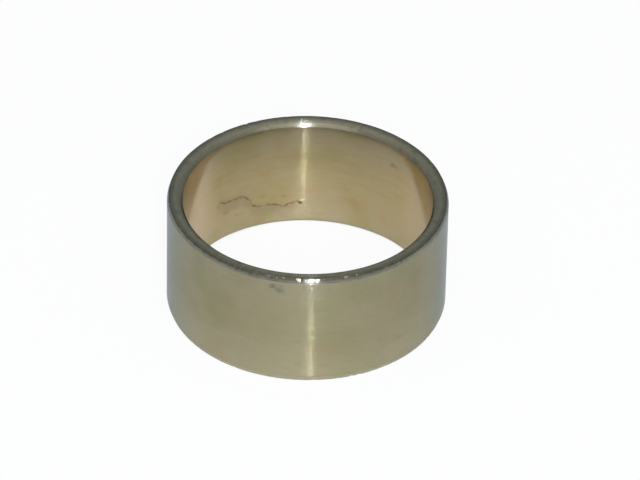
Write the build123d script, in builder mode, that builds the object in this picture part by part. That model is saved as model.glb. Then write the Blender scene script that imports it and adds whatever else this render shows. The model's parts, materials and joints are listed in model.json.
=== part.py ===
from build123d import *
import os

# A plain bronze sleeve bushing: a thin-walled ring turned from one piece.
# The bore takes a shaft, the outside is pressed into a housing, and both ends are alike.
# Millimetres. The origin is the centre of the lower end face, and +Z is the bushing's axis.

# Driving dimensions
BORE_DIAMETER = 40.0
WALL_THICKNESS = 2.5
BUSHING_LENGTH = 20.0

LEAD_IN_LENGTH = 0.8  # shallow taper outside each end, which guides the bushing into its housing
LEAD_IN_DEPTH = 0.3
BORE_CHAMFER = 0.7  # 45 degrees, inside each end
EDGE_BREAK = 0.1  # radius left on every corner by deburring and handling

# Sizes that follow
bore_radius = BORE_DIAMETER / 2
outer_radius = bore_radius + WALL_THICKNESS


with BuildPart() as bushing:
    # Section of the wall, drawn in the half-plane beside the axis
    with BuildSketch(Plane.XZ) as wall_section:
        with BuildLine():
            lower_lead_in = Line(
                (outer_radius - LEAD_IN_DEPTH, 0),
                (outer_radius, LEAD_IN_LENGTH),
            )
            upper_lead_in = Line(
                (outer_radius, BUSHING_LENGTH - LEAD_IN_LENGTH),
                (outer_radius - LEAD_IN_DEPTH, BUSHING_LENGTH),
            )
            upper_bore_chamfer = Line(
                (bore_radius + BORE_CHAMFER, BUSHING_LENGTH),
                (bore_radius, BUSHING_LENGTH - BORE_CHAMFER),
            )
            lower_bore_chamfer = Line(
                (bore_radius, BORE_CHAMFER),
                (bore_radius + BORE_CHAMFER, 0),
            )
            Line(lower_lead_in @ 1, upper_lead_in @ 0)  # outside
            Line(upper_lead_in @ 1, upper_bore_chamfer @ 0)  # upper end face
            Line(upper_bore_chamfer @ 1, lower_bore_chamfer @ 0)  # bore
            Line(lower_bore_chamfer @ 1, lower_lead_in @ 0)  # lower end face
        make_face()
        fillet(wall_section.vertices(), radius=EDGE_BREAK)
    revolve(axis=Axis.Z)

bushing.part.label = "bushing"

os.makedirs("parts", exist_ok=True)
export_step(bushing.part, "parts/bushing.step")
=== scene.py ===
import json
import math
import random
from types import SimpleNamespace

import bmesh
import bpy
import numpy as np
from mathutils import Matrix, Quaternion, Vector


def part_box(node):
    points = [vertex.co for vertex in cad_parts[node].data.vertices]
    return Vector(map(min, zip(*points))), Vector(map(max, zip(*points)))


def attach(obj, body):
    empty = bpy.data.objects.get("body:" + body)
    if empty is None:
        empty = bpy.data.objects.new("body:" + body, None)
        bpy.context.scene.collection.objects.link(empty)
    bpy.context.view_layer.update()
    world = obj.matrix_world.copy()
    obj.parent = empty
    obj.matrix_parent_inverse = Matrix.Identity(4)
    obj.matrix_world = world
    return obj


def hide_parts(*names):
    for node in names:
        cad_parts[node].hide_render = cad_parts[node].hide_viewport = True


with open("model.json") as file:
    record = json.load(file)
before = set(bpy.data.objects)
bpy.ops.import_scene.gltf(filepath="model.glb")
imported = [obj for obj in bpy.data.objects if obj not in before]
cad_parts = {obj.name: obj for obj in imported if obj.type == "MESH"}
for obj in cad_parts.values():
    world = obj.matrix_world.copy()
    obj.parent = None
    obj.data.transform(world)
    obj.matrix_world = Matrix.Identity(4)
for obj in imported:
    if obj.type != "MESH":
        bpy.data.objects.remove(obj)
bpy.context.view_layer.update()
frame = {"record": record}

# The looks of a plain bronze sleeve bushing that stands on its end on a white table. The ring
# is spun again here with softer edges, its small knocks and its worn finish, and stands in for
# the plain CAD ring. Everything is in metres; sizes given in millimetres go through mm().

BODY = "root"


def mm(size):
    """Millimetres to metres."""
    return size / 1000


# ---------------------------------------------------------------- sizes

ring_low, ring_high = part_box("bushing")
RING_CENTRE = (ring_low + ring_high) / 2
OUTER_RADIUS = ring_high.x
BUSHING_LENGTH = ring_high.z - ring_low.z
BORE_RADIUS = mm(
    next(m["dims"]["r_mm"] for m in frame["record"]["mounts"] if m["name"] == "bore")
)

LEAD_IN_LENGTH = mm(0.8)
LEAD_IN_DEPTH = mm(0.3)
BORE_CHAMFER = mm(0.7)
EDGE_BREAK = mm(0.1)
EDGE_SEGMENTS = 3
WORN_EDGE = mm(0.45)  # the rounding that use has left where the bore's chamfer meets the end
WORN_SEGMENTS = 5

STEPS_IN_QUARTER = 270
LONGEST_SIDE = mm(0.3)  # of a mesh face on the chamfers and end faces
WALL_SPACING = mm(1.5)  # the same along the bore and the outside
LONG_WALL = mm(5)  # the bore and the outside are the only sides of the section longer than this
MERGE_DISTANCE = mm(0.01)  # joins the mirrored quarters where they meet
ON_WALL = mm(0.02)  # a face whose centre is this close to a wall's radius belongs to that wall

# ---------------------------------------------------------------- helpers


def hex_colour(text):
    """An sRGB hex value such as "B08040" as linear red, green, blue and alpha."""
    values = [int(text[i : i + 2], 16) / 255 for i in (0, 2, 4)]
    linear = [v / 12.92 if v <= 0.04045 else ((v + 0.055) / 1.055) ** 2.4 for v in values]
    return (*linear, 1.0)


def add_node(tree, kind, settings=None, inputs=None):
    """Adds a node, sets its properties, and gives each input a value or links a socket to it."""
    node = tree.nodes.new(kind)
    for name, value in (settings or {}).items():
        setattr(node, name, value)
    for name, value in (inputs or {}).items():
        if isinstance(value, bpy.types.NodeSocket):
            tree.links.new(value, node.inputs[name])
        else:
            node.inputs[name].default_value = value
    return node


def fill_ramp(ramp, stops):
    """Gives a colour ramp its (position, colour) stops, lowest first."""
    elements = ramp.color_ramp.elements
    for element, (position, colour) in zip(elements, (stops[0], stops[-1])):
        element.position = position
        element.color = hex_colour(colour)
    for position, colour in stops[1:-1]:
        elements.new(position).color = hex_colour(colour)


def polar(radius, azimuth, height):
    """A point, from its radius, its azimuth in degrees and its height."""
    turn = math.radians(azimuth)
    return Vector((radius * math.cos(turn), radius * math.sin(turn), height))


# ---------------------------------------------------------------- the ring


def wall_section():
    """The corners of the wall's section, as (radius, height, rounding, rounding's segments)."""
    outer, bore, length = OUTER_RADIUS, BORE_RADIUS, BUSHING_LENGTH
    return [
        (outer - LEAD_IN_DEPTH, 0, EDGE_BREAK, EDGE_SEGMENTS),
        (outer, LEAD_IN_LENGTH, EDGE_BREAK, EDGE_SEGMENTS),
        (outer, length - LEAD_IN_LENGTH, EDGE_BREAK, EDGE_SEGMENTS),
        (outer - LEAD_IN_DEPTH, length, EDGE_BREAK, EDGE_SEGMENTS),
        (bore + BORE_CHAMFER, length, WORN_EDGE, WORN_SEGMENTS),
        (bore, length - BORE_CHAMFER, EDGE_BREAK, EDGE_SEGMENTS),
        (bore, BORE_CHAMFER, EDGE_BREAK, EDGE_SEGMENTS),
        (bore + BORE_CHAMFER, 0, EDGE_BREAK, EDGE_SEGMENTS),
    ]


def spin_ring():
    """The wall's section with its corners rounded, spun a quarter round and mirrored twice."""
    bm = bmesh.new()
    section = wall_section()
    corners = [bm.verts.new((radius, 0, height)) for radius, height, _, _ in section]
    for i, corner in enumerate(corners):
        bm.edges.new((corner, corners[(i + 1) % len(corners)]))
    for corner, (_, _, rounding, segments) in zip(corners, section):
        bmesh.ops.bevel(
            bm,
            geom=[corner],
            offset=rounding,
            offset_type="OFFSET",
            segments=segments,
            profile=0.5,
            affect="VERTICES",
            material=-1,
        )
    sides = [edge for edge in bm.edges if edge.calc_length() > LONGEST_SIDE]
    for side in sides:
        length = side.calc_length()
        spacing = WALL_SPACING if length > LONG_WALL else LONGEST_SIDE
        bmesh.ops.subdivide_edges(bm, edges=[side], cuts=math.ceil(length / spacing) - 1)
    bmesh.ops.spin(
        bm,
        geom=bm.verts[:] + bm.edges[:],
        cent=(0, 0, 0),
        axis=(0, 0, 1),
        angle=math.tau / 4,
        steps=STEPS_IN_QUARTER,
    )
    for axis in "XY":
        bmesh.ops.mirror(
            bm,
            geom=bm.verts[:] + bm.edges[:] + bm.faces[:],
            merge_dist=MERGE_DISTANCE,
            axis=axis,
        )
    return bm


def knock(points, place, facing, depth, reach):
    """Flattens the metal round a place, as a light blow would: nothing within reach stands
    further out along the facing direction than depth below the place."""
    offset = points - np.array(place)
    height = offset @ np.array(facing) + depth
    hit = (np.linalg.norm(offset, axis=1) < reach) & (height > 0)
    points[hit] -= height[hit, None] * np.array(facing)


# The upper edge's five deepest knocks, whose flats catch the light: azimuth, and the azimuth and
# elevation that each flat faces, in degrees, then its depth and reach in millimetres.
BRIGHT_KNOCKS = [
    (-105.5, -92, 42, 0.10, 0.55),
    (-104.0, -90, 40, 0.07, 0.40),
    (-73.5, -86, 44, 0.10, 0.50),
    (-75.0, -88, 40, 0.06, 0.40),
    (-88.0, -88, 41, 0.09, 0.60),
]
HANDLING_SEED = 7
KNOCKS_ON_AN_EDGE = 90
KNOCK_RISE = (25, 70)  # degrees that a knock's flat faces up or down
KNOCK_ASIDE = 18  # the most degrees that it faces to either side
KNOCK_DEPTH = (0.02, 0.06)  # millimetres
KNOCK_REACH = (0.25, 0.7)  # millimetres


def knock_edges(points):
    """The knocks that handling left along the outer edges of both ends."""
    outer_edge = OUTER_RADIUS - LEAD_IN_DEPTH
    for azimuth, toward, rise, depth, reach in BRIGHT_KNOCKS:
        knock(
            points,
            polar(outer_edge, azimuth, BUSHING_LENGTH),
            polar(math.cos(math.radians(rise)), toward, math.sin(math.radians(rise))),
            mm(depth),
            mm(reach),
        )
    handling = random.Random(HANDLING_SEED)
    for height, up in ((BUSHING_LENGTH, 1), (0, -1)):
        for _ in range(KNOCKS_ON_AN_EDGE):
            azimuth = handling.uniform(-180, 180)
            rise = math.radians(handling.uniform(*KNOCK_RISE))
            toward = azimuth + handling.uniform(-KNOCK_ASIDE, KNOCK_ASIDE)
            knock(
                points,
                polar(outer_edge, azimuth, height),
                polar(math.cos(rise), toward, up * math.sin(rise)),
                mm(handling.uniform(*KNOCK_DEPTH)),
                mm(handling.uniform(*KNOCK_REACH)),
            )


def make_ring():
    """The ring as one closed mesh, knocks included."""
    bm = spin_ring()
    bmesh.ops.recalc_face_normals(bm, faces=bm.faces[:])
    mesh = bpy.data.meshes.new("turned_ring")
    bm.to_mesh(mesh)
    bm.free()
    points = np.empty(len(mesh.vertices) * 3)
    mesh.vertices.foreach_get("co", points)
    points = points.reshape(-1, 3)
    knock_edges(points)
    mesh.vertices.foreach_set("co", points.ravel())
    mesh.shade_smooth()
    mesh.update()
    ring = bpy.data.objects.new("turned_ring", mesh)
    bpy.context.scene.collection.objects.link(ring)
    return ring


# ---------------------------------------------------------------- finishes

# The ring was turned and then polished while it ran, so every scratch runs round the axis. The
# scratches of a fine polish are about a thousandth of a millimetre wide, so none shows by itself.
# On the walls, half of them are glossy and the rest are dull with tarnish. A lamp shows in the
# glossy ones as one thin line along the axis, and the dull ones give an even satin glow.
SCRATCH_WIDTH = mm(0.001)
SCRATCH_TURN = 20.0  # degrees that one scratch runs round, about 8 mm
STEEPEST = 1.2  # rise over run of the steepest scratch side
OUT_FLATNESS = 10.0  # the higher this power, the fewer scratches come near the steepest
BORE_FLATNESS = 11.0
END_FLATNESS = 10.0
ANISOTROPY = 0.6
END_ANISOTROPY = 0.9
ACROSS_THE_TANGENT = 0.25  # anisotropic rotation that stretches highlights along the axis
GLOSSY_SHARE = 0.5  # of the scratches
GLOSSY_ROUGHNESS = 0.15
DULL_ROUGHNESS = 0.42
GLOSS_BLEND = 0.02  # how far past the glossy share a scratch is only partly dull
END_ROUGHNESS = 0.21

# Size and depth of the shallow dents in the surface. The end faces were knocked about more.
WALL_GRAIN = (mm(0.30), mm(0.002))
END_GRAIN = (mm(0.25), mm(0.006))

# What a glancing reflection is tinted by. Tarnish makes it cooler everywhere but in the bore.
OUT_TINT = "D4E0F0"
BORE_TINT = "FFFFFF"
END_TINT = "CCD8E4"

SPOT_RAGGEDNESS = mm(0.8)  # size of the nicks in a spot's outline
SPOT_OUTSIDE = 1.5  # in half widths of the spot, with the nicks added: here it ends
SPOT_INSIDE = 0.6  # and here it is full


def start_bronze(name, edge_tint):
    """A bare metal shader, and the places on it that its patterns are drawn by: the place
    itself, the azimuth in degrees, the height and the radius in millimetres, and azimuth and
    height together."""
    material = bpy.data.materials.new(name)
    material.use_nodes = True
    tree = material.node_tree
    metal = tree.nodes["Principled BSDF"]
    metal.inputs["Metallic"].default_value = 1.0
    metal.inputs["Anisotropic"].default_value = ANISOTROPY
    metal.inputs["Anisotropic Rotation"].default_value = ACROSS_THE_TANGENT
    metal.inputs["Specular Tint"].default_value = hex_colour(edge_tint)
    place = add_node(tree, "ShaderNodeTexCoord").outputs["Object"]
    sized = add_node(
        tree,
        "ShaderNodeVectorMath",
        {"operation": "SCALE"},
        {0: place, "Scale": 1 / mm(1)},
    ).outputs[0]
    x, y, height = add_node(tree, "ShaderNodeSeparateXYZ", inputs={"Vector": sized}).outputs
    turn = add_node(tree, "ShaderNodeMath", {"operation": "ARCTAN2"}, {0: y, 1: x}).outputs[0]
    azimuth = add_node(
        tree, "ShaderNodeMath", {"operation": "DEGREES"}, {0: turn}
    ).outputs[0]
    flat = add_node(tree, "ShaderNodeCombineXYZ", inputs={"X": x, "Y": y}).outputs[0]
    radius = add_node(
        tree, "ShaderNodeVectorMath", {"operation": "LENGTH"}, {0: flat}
    ).outputs["Value"]
    wall = add_node(
        tree, "ShaderNodeCombineXYZ", inputs={"X": azimuth, "Y": height}
    ).outputs[0]
    where = SimpleNamespace(
        place=place, azimuth=azimuth, height=height, radius=radius, wall=wall
    )
    return material, tree, metal, where


def mottle(tree, where, size, low, high, share=1.0):
    """Cloudy patches of a size, from 0 to a share between two levels of the noise. A share is a
    number, or another pattern that this one keeps within."""
    cloud = add_node(
        tree,
        "ShaderNodeTexNoise",
        inputs={"Vector": where.place, "Scale": 1 / size, "Detail": 2.0},
    ).outputs["Fac"]
    return add_node(
        tree,
        "ShaderNodeMapRange",
        {"interpolation_type": "SMOOTHSTEP"},
        {"Value": cloud, "From Min": low, "From Max": high, "To Max": share},
    ).outputs["Result"]


def band(tree, value, low, high, feather, share=1.0):
    """A share between two levels of a value, falling to 0 over a feather beyond them."""
    middle = (low + high) / 2
    half = (high - low) / 2
    offset = add_node(
        tree, "ShaderNodeMath", {"operation": "SUBTRACT"}, {0: value, 1: middle}
    ).outputs[0]
    distance = add_node(
        tree, "ShaderNodeMath", {"operation": "ABSOLUTE"}, {0: offset}
    ).outputs[0]
    return add_node(
        tree,
        "ShaderNodeMapRange",
        {"interpolation_type": "SMOOTHSTEP"},
        {"Value": distance, "From Min": half + feather, "From Max": half, "To Max": share},
    ).outputs["Result"]


def spot(tree, where, azimuth, height, half_width, half_height, radius, share):
    """A ragged round mark on a wall, given in degrees and millimetres."""
    per_degree = math.radians(radius) / half_width
    offset = add_node(
        tree,
        "ShaderNodeMapping",
        inputs={
            "Vector": where.wall,
            "Location": (-azimuth * per_degree, -height / half_height, 0),
            "Scale": (per_degree, 1 / half_height, 1),
        },
    ).outputs[0]
    distance = add_node(
        tree, "ShaderNodeVectorMath", {"operation": "LENGTH"}, {0: offset}
    ).outputs["Value"]
    ragged = add_node(
        tree,
        "ShaderNodeMath",
        {"operation": "ADD"},
        {0: distance, 1: mottle(tree, where, SPOT_RAGGEDNESS, 0.2, 0.8)},
    ).outputs[0]
    return add_node(
        tree,
        "ShaderNodeMapRange",
        {"interpolation_type": "SMOOTHSTEP"},
        {
            "Value": ragged,
            "From Min": SPOT_OUTSIDE,
            "From Max": SPOT_INSIDE,
            "To Max": share,
        },
    ).outputs["Result"]


def scuffs(tree, where, radius, length, width, low, high, share):
    """Short marks that run round a wall, of a length and width in millimetres, from 0 to a
    share between two levels of the noise."""
    laid = add_node(
        tree,
        "ShaderNodeMapping",
        inputs={"Vector": where.wall, "Scale": (math.radians(radius) / length, 1 / width, 1)},
    ).outputs[0]
    cloud = add_node(
        tree, "ShaderNodeTexNoise", inputs={"Vector": laid, "Scale": 1.0, "Detail": 2.0}
    ).outputs["Fac"]
    return add_node(
        tree,
        "ShaderNodeMapRange",
        {"interpolation_type": "SMOOTHSTEP"},
        {"Value": cloud, "From Min": low, "From Max": high, "To Max": share},
    ).outputs["Result"]


def shade(tree, under, colour, share, blend="MIX"):
    """A stain of one colour over what is under it."""
    return add_node(
        tree,
        "ShaderNodeMix",
        {"data_type": "RGBA", "blend_type": blend},
        {"Factor": share, "A": under, "B": hex_colour(colour)},
    ).outputs["Result"]


def by_height(tree, where, stops):
    """Colours up the wall, from (height in millimetres, colour) pairs."""
    length = BUSHING_LENGTH / mm(1)
    up = add_node(
        tree, "ShaderNodeMapRange", inputs={"Value": where.height, "From Max": length}
    ).outputs["Result"]
    ramp = add_node(tree, "ShaderNodeValToRGB", inputs={"Fac": up})
    fill_ramp(ramp, [(height / length, colour) for height, colour in stops])
    return ramp.outputs["Color"]


def rub_scratches(tree, metal, where, across, flatness, grain_size, grain_depth):
    """Scratches that run round the axis. Each leans the surface up or down, most of them barely
    and a few a lot, but never sideways. Gives back a number from 0 to 1 for each scratch."""
    around = add_node(
        tree, "ShaderNodeTangent", {"direction_type": "RADIAL", "axis": "Z"}
    ).outputs["Tangent"]
    tree.links.new(around, metal.inputs["Tangent"])
    rows = add_node(
        tree,
        "ShaderNodeMath",
        {"operation": "DIVIDE"},
        {0: across, 1: SCRATCH_WIDTH / mm(1)},
    ).outputs[0]
    row = add_node(tree, "ShaderNodeMath", {"operation": "FLOOR"}, {0: rows}).outputs[0]
    start = add_node(
        tree, "ShaderNodeTexWhiteNoise", {"noise_dimensions": "1D"}, {"W": row}
    ).outputs["Value"]
    along = add_node(
        tree,
        "ShaderNodeMath",
        {"operation": "MULTIPLY_ADD"},
        {0: where.azimuth, 1: 1 / SCRATCH_TURN, 2: start},
    ).outputs[0]
    piece = add_node(tree, "ShaderNodeMath", {"operation": "FLOOR"}, {0: along}).outputs[0]
    scratch = add_node(tree, "ShaderNodeCombineXYZ", inputs={"X": row, "Y": piece}).outputs[0]
    pick = add_node(
        tree, "ShaderNodeTexWhiteNoise", {"noise_dimensions": "2D"}, {"Vector": scratch}
    ).outputs["Color"]
    slope, gloss, _ = add_node(tree, "ShaderNodeSeparateColor", inputs={"Color": pick}).outputs
    swing = add_node(
        tree,
        "ShaderNodeMapRange",
        inputs={"Value": slope, "To Min": -1.0, "To Max": 1.0},
    ).outputs["Result"]
    size = add_node(tree, "ShaderNodeMath", {"operation": "ABSOLUTE"}, {0: swing}).outputs[0]
    lean = add_node(
        tree, "ShaderNodeMath", {"operation": "POWER"}, {0: size, 1: flatness}
    ).outputs[0]
    side = add_node(tree, "ShaderNodeMath", {"operation": "SIGN"}, {0: swing}).outputs[0]
    upright = add_node(
        tree, "ShaderNodeMath", {"operation": "MULTIPLY"}, {0: side, 1: STEEPEST}
    ).outputs[0]
    tilt = add_node(
        tree, "ShaderNodeMath", {"operation": "MULTIPLY"}, {0: lean, 1: upright}
    ).outputs[0]
    facing = add_node(tree, "ShaderNodeNewGeometry").outputs["Normal"]
    sideways = add_node(
        tree, "ShaderNodeVectorMath", {"operation": "CROSS_PRODUCT"}, {0: around, 1: facing}
    ).outputs[0]
    step = add_node(
        tree, "ShaderNodeVectorMath", {"operation": "SCALE"}, {0: sideways, "Scale": tilt}
    ).outputs[0]
    leaning = add_node(
        tree, "ShaderNodeVectorMath", {"operation": "ADD"}, {0: facing, 1: step}
    ).outputs[0]
    scratched = add_node(
        tree, "ShaderNodeVectorMath", {"operation": "NORMALIZE"}, {0: leaning}
    ).outputs[0]
    grain = add_node(
        tree,
        "ShaderNodeTexNoise",
        inputs={"Vector": where.place, "Scale": 1 / grain_size, "Detail": 2.0},
    ).outputs["Fac"]
    grained = add_node(
        tree,
        "ShaderNodeBump",
        inputs={"Height": grain, "Distance": grain_depth, "Normal": scratched},
    ).outputs[0]
    tree.links.new(grained, metal.inputs["Normal"])
    return gloss


def gloss_scratches(tree, metal, gloss, stained=0.0):
    """Keeps the glossy share of the scratches glossy, and fewer where the metal is stained."""
    dulled = add_node(
        tree, "ShaderNodeMath", {"operation": "ADD"}, {0: gloss, 1: stained}
    ).outputs[0]
    roughness = add_node(
        tree,
        "ShaderNodeMapRange",
        inputs={
            "Value": dulled,
            "From Min": GLOSSY_SHARE,
            "From Max": GLOSSY_SHARE + GLOSS_BLEND,
            "To Min": GLOSSY_ROUGHNESS,
            "To Max": DULL_ROUGHNESS,
        },
    ).outputs["Result"]
    tree.links.new(roughness, metal.inputs["Roughness"])


def mark_wall(tree, where, colour, radius, marks):
    """The colour of a wall with its marks on it."""
    for azimuth, height, half_width, half_height, share, stain in marks:
        mark = spot(tree, where, azimuth, height, half_width, half_height, radius, share)
        colour = shade(tree, colour, stain, mark)
    return colour


# Marks on a wall: azimuth in degrees, then height, half width and half height in millimetres,
# then how much of the metal's colour each hides, and its own colour.
OUTSIDE_MARKS = [
    (-101.5, 17.9, 1.3, 0.95, 0.5, "66665A"),
    (-104.0, 18.3, 0.9, 0.6, 0.4, "6E6E5C"),
    (-117.0, 6.8, 1.3, 0.12, 0.35, "C9C2A2"),
    (-61.0, 3.4, 1.6, 0.10, 0.35, "C9C2A2"),
    (-58.5, 8.6, 0.8, 0.10, 0.3, "6E6A52"),
    (-131.0, 12.5, 1.0, 0.10, 0.3, "6E6A52"),
    (-76.0, 12.2, 0.9, 0.08, 0.3, "C9C2A2"),
]
BORE_MARKS = [
    (137.0, 7.3, 0.25, 0.5, 0.6, "6B5A38"),
    (93.5, 4.1, 0.5, 0.35, 0.8, "5A4E36"),
    (131.5, 5.2, 1.6, 0.7, 0.25, "8C7860"),
    (124.5, 4.0, 1.2, 0.35, 0.25, "8C7C50"),
    (47.0, 15.8, 1.0, 0.5, 0.5, "6E6040"),
    (41.0, 18.6, 0.7, 0.5, 0.6, "C8B860"),
    (92.5, 13.9, 1.2, 0.3, 0.6, "6E6248"),
    (101.0, 5.6, 1.0, 0.3, 0.35, "8C7C58"),
    (112.0, 6.3, 0.9, 0.4, 0.25, "8C7450"),
    (115.0, 11.0, 2.4, 0.5, 0.3, "C9B06A"),
    (74.0, 12.2, 1.2, 0.3, 0.3, "D0B878"),
    (120.0, 14.6, 3.0, 0.35, 0.25, "857A5C"),
    (64.0, 6.0, 2.0, 1.6, 0.15, "B08C62"),
]


def turned_outside():
    """Bronze, turned and polished round the axis, then dulled by tarnish: satin khaki gold, with
    one thin line of light along it and a few faint scuffs and spots."""
    material, tree, metal, where = start_bronze("turned_bronze_outside", OUT_TINT)
    # Painted light: paler toward the foot and darker toward the top.
    colour = by_height(
        tree, where, [(0, "B2A888"), (2, "B2A888"), (9, "A69C7B"), (15, "A59B7B"), (20, "A29B80")]
    )
    colour = shade(tree, colour, "F2F6EC", mottle(tree, where, mm(9), 0.45, 0.75), "MULTIPLY")
    colour = shade(tree, colour, "FFF4F0", mottle(tree, where, mm(6), 0.5, 0.8), "MULTIPLY")
    outer = OUTER_RADIUS / mm(1)
    dark = scuffs(tree, where, outer, length=2.2, width=0.30, low=0.56, high=0.75, share=0.35)
    colour = shade(tree, colour, "E2DED2", dark, "MULTIPLY")
    pale = scuffs(tree, where, outer, length=1.6, width=0.22, low=0.62, high=0.8, share=0.15)
    colour = shade(tree, colour, "C2B896", pale)
    colour = mark_wall(tree, where, colour, outer, OUTSIDE_MARKS)
    tree.links.new(colour, metal.inputs["Base Color"])
    gloss = rub_scratches(tree, metal, where, where.height, OUT_FLATNESS, *WALL_GRAIN)
    gloss_scratches(tree, metal, gloss)
    return material


# The ragged upper edge of a dried stain in the bore, as (azimuth in degrees, height in mm).
TIDE_LINE = [
    (94.5, 4.4), (96.5, 4.3), (99.5, 4.0), (101.5, 3.6), (103.5, 3.9), (106.0, 4.2),
    (110.0, 4.4), (113.5, 4.4), (116.5, 4.8), (117.5, 5.4), (118.5, 6.1), (120.5, 6.8),
    (123.0, 7.3), (128.0, 7.3), (131.5, 7.4), (136.5, 7.9), (137.0, 7.3),
]
TIDE_SCALE = 10.0  # the height in millimetres that the tide line's curve gives as 1
TIDE_WOBBLE = 0.25  # millimetres by which small ripples move the tide line up and down
TIDE_RIPPLE = mm(0.6)  # size of those ripples


def above_tide_line(tree, where):
    """How far a place is above the stain's upper edge, in millimetres."""
    first, last = TIDE_LINE[0][0], TIDE_LINE[-1][0]
    along = add_node(
        tree,
        "ShaderNodeMapRange",
        inputs={"Value": where.azimuth, "From Min": first, "From Max": last},
    ).outputs["Result"]
    line = add_node(tree, "ShaderNodeFloatCurve", inputs={"Value": along})
    curve = line.mapping.curves[0]
    curve.points[0].location = (0.0, TIDE_LINE[0][1] / TIDE_SCALE)
    curve.points[1].location = (1.0, TIDE_LINE[-1][1] / TIDE_SCALE)
    for azimuth, height in TIDE_LINE[1:-1]:
        curve.points.new((azimuth - first) / (last - first), height / TIDE_SCALE)
    line.mapping.update()
    above = add_node(
        tree,
        "ShaderNodeMath",
        {"operation": "MULTIPLY_ADD"},
        {0: line.outputs[0], 1: -TIDE_SCALE, 2: where.height},
    ).outputs[0]
    ripple = add_node(
        tree,
        "ShaderNodeMath",
        {"operation": "MULTIPLY_ADD"},
        {0: mottle(tree, where, TIDE_RIPPLE, 0.2, 0.8), 1: 2 * TIDE_WOBBLE, 2: -TIDE_WOBBLE},
    ).outputs[0]
    return add_node(
        tree, "ShaderNodeMath", {"operation": "ADD"}, {0: above, 1: ripple}
    ).outputs[0]


def turned_bore():
    """Bronze, turned and polished round the axis and kept cleaner than the outside: warmer and
    brighter, with a brighter line of light and the ragged edge of a dried stain."""
    material, tree, metal, where = start_bronze("turned_bronze_bore", BORE_TINT)
    # Painted shade: darker toward the top, for the near wall's shadow on the table that the bore
    # reflects.
    colour = by_height(
        tree,
        where,
        [(0, "C6B794"), (2, "C6B794"), (6, "C6B48C"), (10, "C2B187"), (14, "BCAC86"),
         (18, "B2A687"), (20, "A99E84")],
    )
    colour = shade(tree, colour, "F4F6E4", mottle(tree, where, mm(8), 0.42, 0.7), "MULTIPLY")
    colour = shade(tree, colour, "FFF2EC", mottle(tree, where, mm(5), 0.5, 0.8), "MULTIPLY")

    bore = BORE_RADIUS / mm(1)
    dark = scuffs(tree, where, bore, length=1.8, width=0.30, low=0.55, high=0.75, share=0.25)
    colour = shade(tree, colour, "DCD6C8", dark, "MULTIPLY")
    pale = scuffs(tree, where, bore, length=1.2, width=0.25, low=0.6, high=0.8, share=0.12)
    colour = shade(tree, colour, "D8C69A", pale)

    # Painted light: the bore is paler on two sides, between these azimuths, where brighter
    # reflections fall.
    for low, high, feather, share in ((152.0, 174.0, 16.0, 0.6), (10.0, 30.0, 14.0, 0.3)):
        painted_light_sides = band(tree, where.azimuth, low, high, feather, share)
        colour = shade(tree, colour, "E6D0B2", painted_light_sides)

    # Brown below the tide line, a pale yellow crust above it, and dark along the line itself.
    above = above_tide_line(tree, where)
    stained = band(tree, where.azimuth, 99.0, 134.0, 5.0, 0.5)
    stained = band(tree, above, -1.2, -0.1, 1.6, stained)
    colour = shade(tree, colour, "B4A084", mottle(tree, where, mm(1.6), 0.25, 0.6, stained))
    crust = band(tree, where.azimuth, 96.0, 116.0, 3.0, 0.5)
    crust = band(tree, above, 0.15, 1.0, 1.0, crust)
    colour = shade(tree, colour, "C4B07C", mottle(tree, where, mm(1.2), 0.35, 0.6, crust))
    edge = band(tree, where.azimuth, 94.5, 137.0, 0.6, 0.62)
    edge = band(tree, above, -0.08, 0.08, 0.14, edge)
    colour = shade(tree, colour, "6B5A40", mottle(tree, where, mm(1.6), 0.3, 0.55, edge))

    colour = mark_wall(tree, where, colour, bore, BORE_MARKS)
    tree.links.new(colour, metal.inputs["Base Color"])

    # The stain and a patch at the foot are duller, and the upper part, which fingers reach, is
    # glossier.
    foot = spot(tree, where, 92.0, 1.6, 2.6, 2.6, bore, 0.7)
    dulled = add_node(
        tree, "ShaderNodeMath", {"operation": "MAXIMUM"}, {0: stained, 1: foot}
    ).outputs[0]
    handled = add_node(
        tree,
        "ShaderNodeMapRange",
        inputs={"Value": where.height, "From Min": 11.0, "From Max": 15.0, "To Max": 0.2},
    ).outputs["Result"]
    dulled = add_node(
        tree, "ShaderNodeMath", {"operation": "SUBTRACT"}, {0: dulled, 1: handled}
    ).outputs[0]
    gloss = rub_scratches(tree, metal, where, where.height, BORE_FLATNESS, *WALL_GRAIN)
    gloss_scratches(tree, metal, gloss, dulled)
    return material


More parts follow.
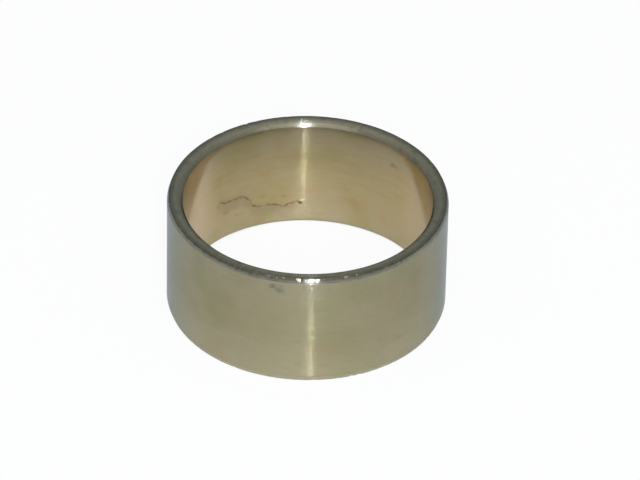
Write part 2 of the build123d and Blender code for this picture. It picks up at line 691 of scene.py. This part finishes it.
def faced_end():
    """Bronze, faced across the end and broken at its edges, with grime left in the tool marks:
    greyer and darker than the walls, with greenish patches and a dark outer edge."""
    material, tree, metal, where = start_bronze("faced_bronze_end", END_TINT)
    metal.inputs["Roughness"].default_value = END_ROUGHNESS
    metal.inputs["Anisotropic"].default_value = END_ANISOTROPY
    clouds = mottle(tree, where, mm(2.0), 0.35, 0.75)
    colour = shade(tree, hex_colour("96917F"), "8A8879", clouds)
    # Painted highlight: paler on and beside the bore's chamfer. Painted shade: darker toward the
    # outside.
    bore = BORE_RADIUS / mm(1)
    outer = OUTER_RADIUS / mm(1)
    paler = band(tree, where.radius, bore, bore + 1.3, 0.25, 0.4)
    colour = shade(tree, colour, "A9A28C", paler)
    darker = band(tree, where.radius, outer - 0.8, outer - 0.4, 0.3, 0.5)
    colour = shade(tree, colour, "767464", darker)
    colour = shade(tree, colour, "6C7350", mottle(tree, where, mm(1.1), 0.52, 0.72, 0.45))
    edge = outer - LEAD_IN_DEPTH / mm(1)
    rim = band(tree, where.radius, edge - 0.15, edge + 0.04, 0.15, 0.45)
    colour = shade(tree, colour, "44423A", mottle(tree, where, mm(0.9), 0.2, 0.5, rim))
    # Painted reflection: the lower end is paler, where its chamfer would show the white table.
    colour = shade(tree, colour, "C8BE9C", band(tree, where.height, 0.0, 0.9, 0.2, 0.8))
    tree.links.new(colour, metal.inputs["Base Color"])
    rub_scratches(tree, metal, where, where.radius, END_FLATNESS, *END_GRAIN)
    return material


def dress_ring(ring):
    """Outside, bore and end faces each get the finish that their own cut left."""
    for material in (turned_outside(), turned_bore(), faced_end()):
        ring.data.materials.append(material)
    outside_slot, bore_slot, end_slot = range(3)
    for face in ring.data.polygons:
        radius = Vector(face.center[:2]).length
        if radius > OUTER_RADIUS - ON_WALL:
            face.material_index = outside_slot
        elif radius < BORE_RADIUS + ON_WALL:
            face.material_index = bore_slot
        else:
            face.material_index = end_slot


ring = make_ring()
dress_ring(ring)
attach(ring, BODY)
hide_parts("bushing")

# ---------------------------------------------------------------- table, light and camera

TABLE_HALF_WIDTH = 4.0
WHITE_TO_CAMERA = 0.92
WHITE_TO_METAL = 0.1


def see_white(tree):
    """How much of the table's own white shows to the camera and in the metal. The rest is the
    light that falls on it, with the ring's shadow."""
    path = add_node(tree, "ShaderNodeLightPath")
    in_metal = add_node(
        tree,
        "ShaderNodeMath",
        {"operation": "MULTIPLY"},
        {0: path.outputs["Is Glossy Ray"], 1: WHITE_TO_METAL},
    )
    through_glass = add_node(
        tree,
        "ShaderNodeMath",
        {"operation": "MULTIPLY_ADD"},
        {0: path.outputs["Is Transmission Ray"], 1: WHITE_TO_METAL, 2: in_metal.outputs[0]},
    )
    return add_node(
        tree,
        "ShaderNodeMath",
        {"operation": "MULTIPLY_ADD"},
        {0: path.outputs["Is Camera Ray"], 1: WHITE_TO_CAMERA, 2: through_glass.outputs[0]},
    ).outputs[0]


def make_table():
    """A white table top, with a soft shadow where the ring stands."""
    bm = bmesh.new()
    bmesh.ops.create_grid(bm, x_segments=1, y_segments=1, size=TABLE_HALF_WIDTH)
    mesh = bpy.data.meshes.new("table_top")
    bm.to_mesh(mesh)
    bm.free()
    table = bpy.data.objects.new("table_top", mesh)
    bpy.context.scene.collection.objects.link(table)
    material = bpy.data.materials.new("white_table")
    material.use_nodes = True
    tree = material.node_tree
    tree.nodes.remove(tree.nodes["Principled BSDF"])
    paint = add_node(tree, "ShaderNodeBsdfDiffuse", inputs={"Color": hex_colour("F4F4F4")})
    glow = add_node(tree, "ShaderNodeEmission", inputs={"Color": hex_colour("FFFFFF")})
    mix = add_node(
        tree,
        "ShaderNodeMixShader",
        inputs={0: see_white(tree), 1: paint.outputs[0], 2: glow.outputs[0]},
    )
    tree.links.new(mix.outputs[0], tree.nodes["Material Output"].inputs["Surface"])
    mesh.materials.append(material)


def make_room():
    """A pale room: white round the horizon, dimmer and bluish above, with a paler ceiling."""
    world = bpy.data.worlds.new("room")
    bpy.context.scene.world = world
    world.use_nodes = True
    tree = world.node_tree
    background = tree.nodes["Background"]
    direction = add_node(tree, "ShaderNodeTexCoord").outputs["Generated"]
    rise = add_node(tree, "ShaderNodeSeparateXYZ", inputs={"Vector": direction}).outputs["Z"]
    ramp = add_node(tree, "ShaderNodeValToRGB", inputs={"Fac": rise})
    fill_ramp(ramp, [(0.0, "E0E0E0"), (0.12, "9AA0A4"), (0.55, "A4AAAE"), (0.9, "D0D0D0")])
    tree.links.new(ramp.outputs["Color"], background.inputs["Color"])


# Distance in metres, angles in degrees, and where the ring's centre falls in the picture.
CAMERA_DISTANCE = 0.9414
CAMERA_ELEVATION = 36.49
CAMERA_ROLL = 1.13
FOCAL_LENGTH_PX = 5862
IMAGE_SIZE_PX = Vector((640, 480))
RING_CENTRE_PX = Vector((307.0, 246.3))
SENSOR_WIDTH = 36.0
CLIP_START = 0.01
CLIP_END = 20


def make_camera():
    """A long lens, a little to one side of the ring's centre and rolled by a degree."""
    rise = math.radians(CAMERA_ELEVATION)
    back = Vector((0, -math.cos(rise), math.sin(rise)))
    data = bpy.data.cameras.new("camera")
    camera = bpy.data.objects.new("camera", data)
    bpy.context.scene.collection.objects.link(camera)
    data.sensor_width = SENSOR_WIDTH
    data.lens = FOCAL_LENGTH_PX / IMAGE_SIZE_PX.x * SENSOR_WIDTH
    data.clip_start = CLIP_START
    data.clip_end = CLIP_END
    camera.location = RING_CENTRE + back * CAMERA_DISTANCE
    aside = RING_CENTRE_PX - IMAGE_SIZE_PX / 2
    toward_ring = Vector((aside.x, -aside.y, -FOCAL_LENGTH_PX)).normalized()
    camera.rotation_mode = "QUATERNION"
    camera.rotation_quaternion = (
        (-back).to_track_quat("-Z", "Y")
        @ Quaternion((0, 0, 1), math.radians(CAMERA_ROLL))
        @ toward_ring.rotation_difference(Vector((0, 0, -1)))
    )
    bpy.context.scene.camera = camera


def add_lamp(name, azimuth, elevation, distance, width, height, power, colour):
    """An oval lamp that faces the ring's centre: angles in degrees, sizes in metres, power in
    watts."""
    data = bpy.data.lights.new(name, "AREA")
    data.shape = "ELLIPSE"
    data.size = width
    data.size_y = height
    data.energy = power
    data.color = hex_colour(colour)[:3]
    lamp = bpy.data.objects.new(name, data)
    rise = math.radians(elevation)
    away = polar(distance * math.cos(rise), azimuth, distance * math.sin(rise))
    lamp.location = RING_CENTRE + away
    lamp.rotation_euler = (-away).to_track_quat("-Z", "Y").to_euler()
    bpy.context.scene.collection.objects.link(lamp)


make_table()
make_room()
# A thin upright lamp, which shows in the walls as a line of light.
add_lamp(
    "strip_lamp",
    azimuth=-85.5,
    elevation=39,
    distance=0.9,
    width=0.03,
    height=0.8,
    power=5.5,
    colour="DFECFF",
)
# A large one, which fills in the rest.
add_lamp(
    "soft_lamp",
    azimuth=-87,
    elevation=50,
    distance=1.1,
    width=1.5,
    height=1.5,
    power=2.6,
    colour="FFFBF6",
)
make_camera()
bpy.context.scene.view_settings.view_transform = "Standard"
